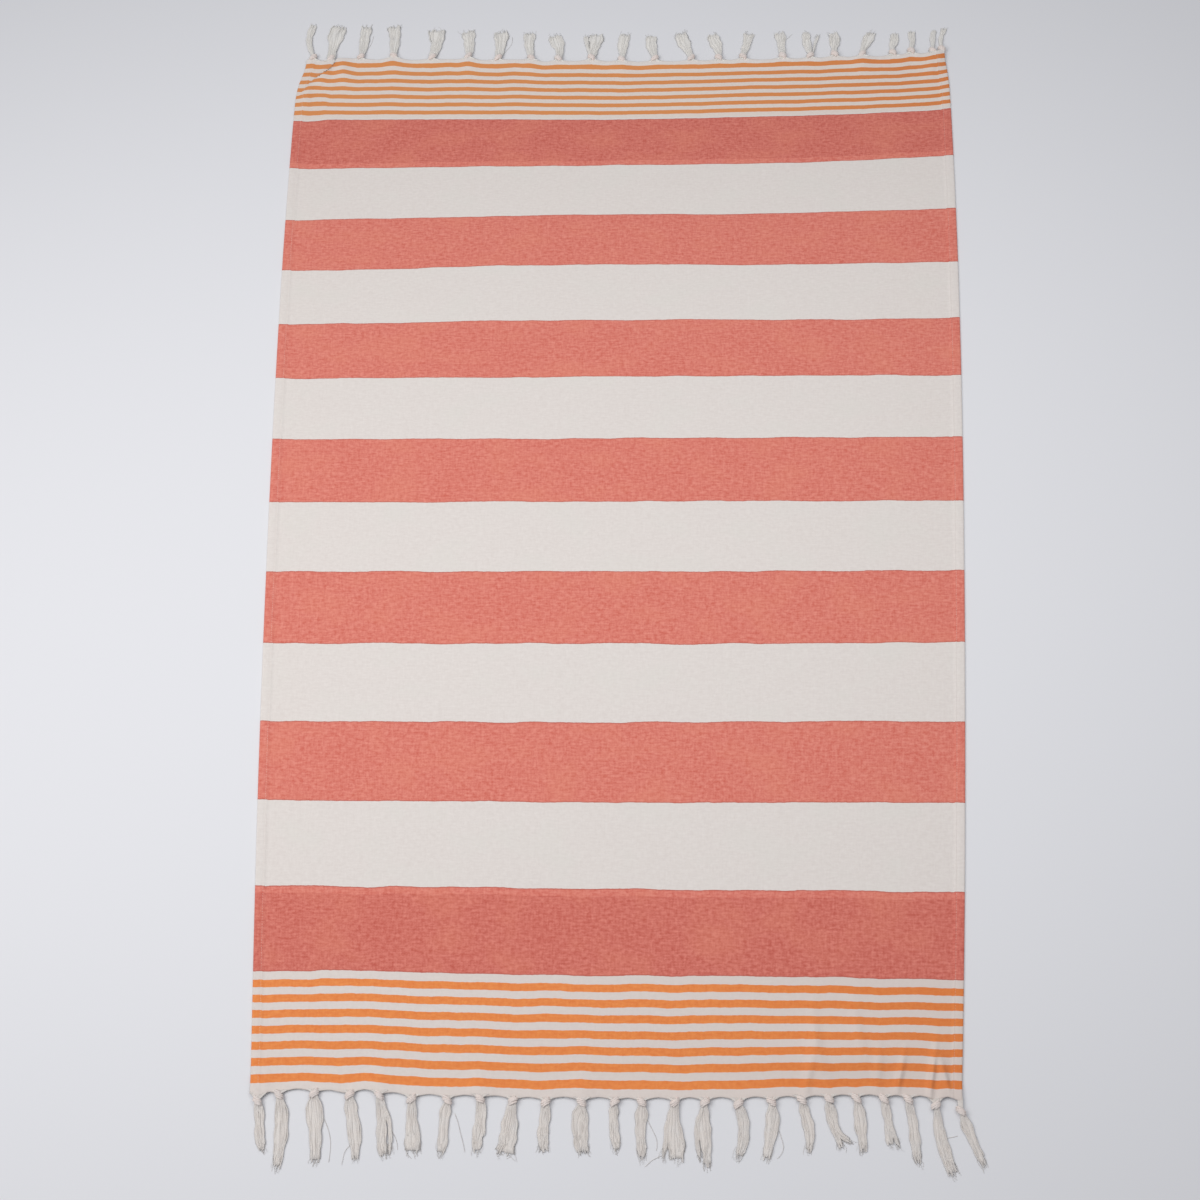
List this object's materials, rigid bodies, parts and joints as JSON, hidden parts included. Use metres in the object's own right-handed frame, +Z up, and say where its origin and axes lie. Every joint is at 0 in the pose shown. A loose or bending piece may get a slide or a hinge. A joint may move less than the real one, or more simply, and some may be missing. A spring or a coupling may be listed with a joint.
{
  "type": "flat-woven beach towel",
  "caption": "Flat-woven striped cotton beach towel laid out flat, with turned side hems and a fringe of knotted tassels at each end.",
  "frame": {"origin": "on the surface that the towel lies on, under the middle of its box", "axes": "+Z up, +Y along the towel from the near end to the far end, +X across it to the right"},
  "size_m": [1.0644, 1.8014, 0.0087],
  "materials": {
    "striped_cloth": "flat-woven cotton, coral and natural bands with fine orange border stripes, matt",
    "natural_yarn": "loose natural cotton warp yarn, matt"
  },
  "bodies": {
    "root": {"woven_cloth": "striped_cloth", "fringe_near": "natural_yarn", "fringe_far": "natural_yarn"}
  },
  "joints": []
}
